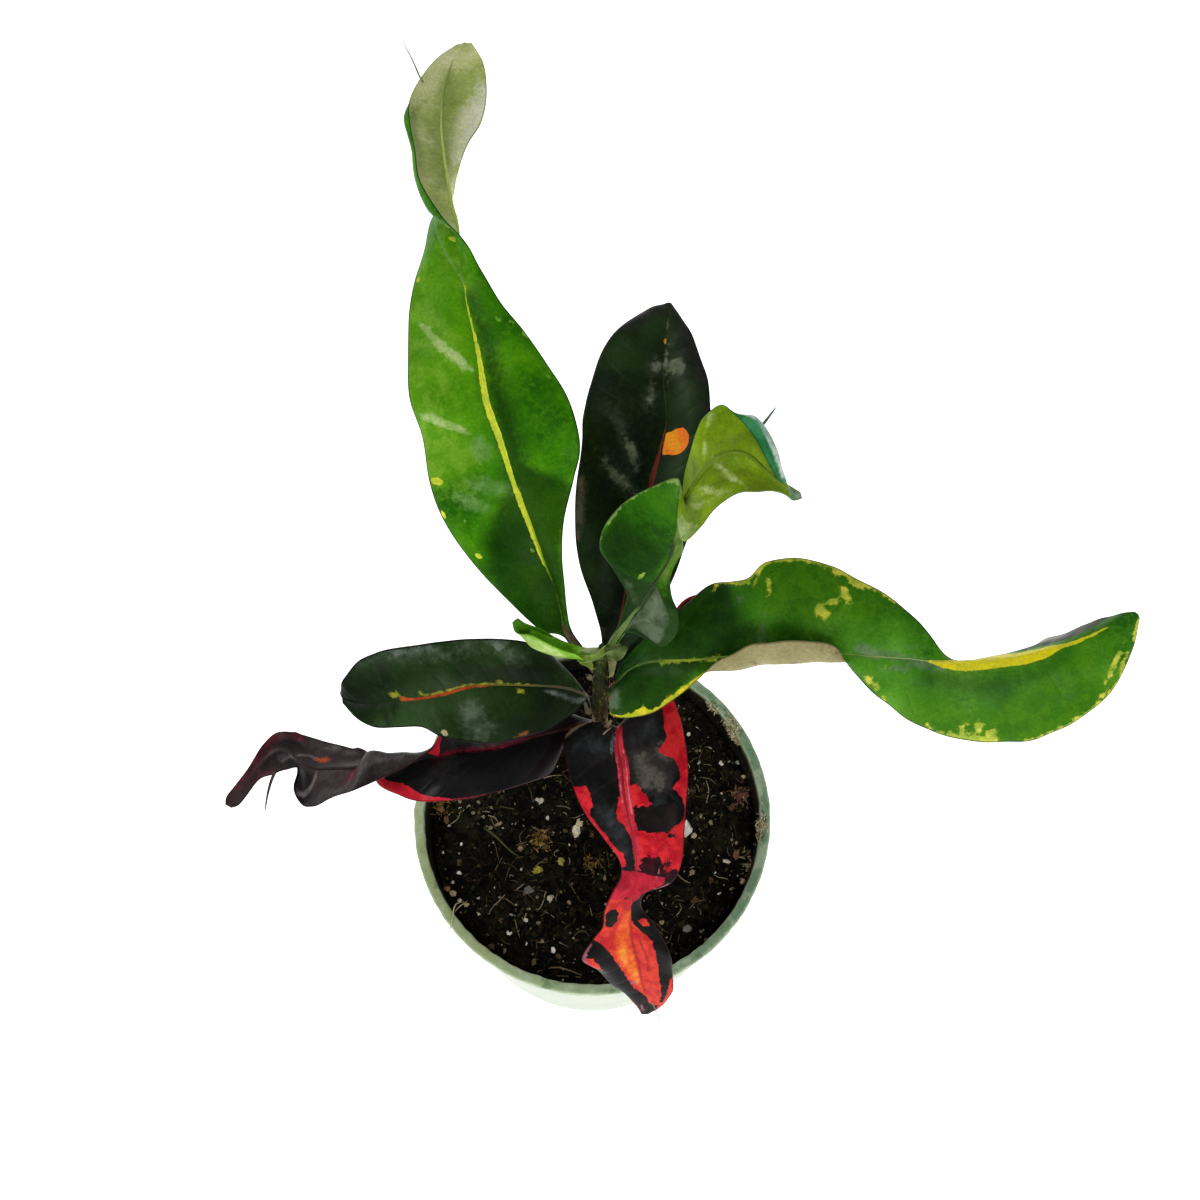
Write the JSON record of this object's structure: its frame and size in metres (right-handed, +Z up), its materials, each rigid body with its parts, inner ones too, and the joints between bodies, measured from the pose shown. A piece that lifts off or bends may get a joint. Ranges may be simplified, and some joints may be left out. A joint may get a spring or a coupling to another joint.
{
  "type": "potted croton",
  "caption": "Young croton plant with glossy, variegated, twisting leaves on one slender stem, growing in a round plastic nursery pot.",
  "frame": {"origin": "centre of the pot's flat underside, on the plane that it rests on", "axes": "+Z up, +Y toward the back of the plant, +X toward its right, as seen from the front"},
  "size_m": [0.2397, 0.2403, 0.2553],
  "materials": {
    "pot_plastic": "satin pale green plastic",
    "soil": "matt damp peat with perlite",
    "stem": "smooth green bark",
    "leaf_green": "glossy green with yellow veins",
    "leaf_dark": "glossy dark green",
    "leaf_purple": "glossy purple black with red edges",
    "leaf_red": "glossy dark leaf with bright red edges",
    "leaf_young": "satin light green"
  },
  "bodies": {
    "root": {"nursery_pot": "pot_plastic", "potting_soil": "soil", "stem": "stem", "leaf_back_long": "leaf_green", "leaf_back_dark": "leaf_dark", "leaf_top_twisted": "leaf_green", "leaf_right_long": "leaf_green", "leaf_left_broad": "leaf_dark", "leaf_left_purple": "leaf_purple", "leaf_front_red": "leaf_red", "leaf_bud_folded": "leaf_young", "leaf_under_short": "leaf_purple"}
  },
  "joints": []
}
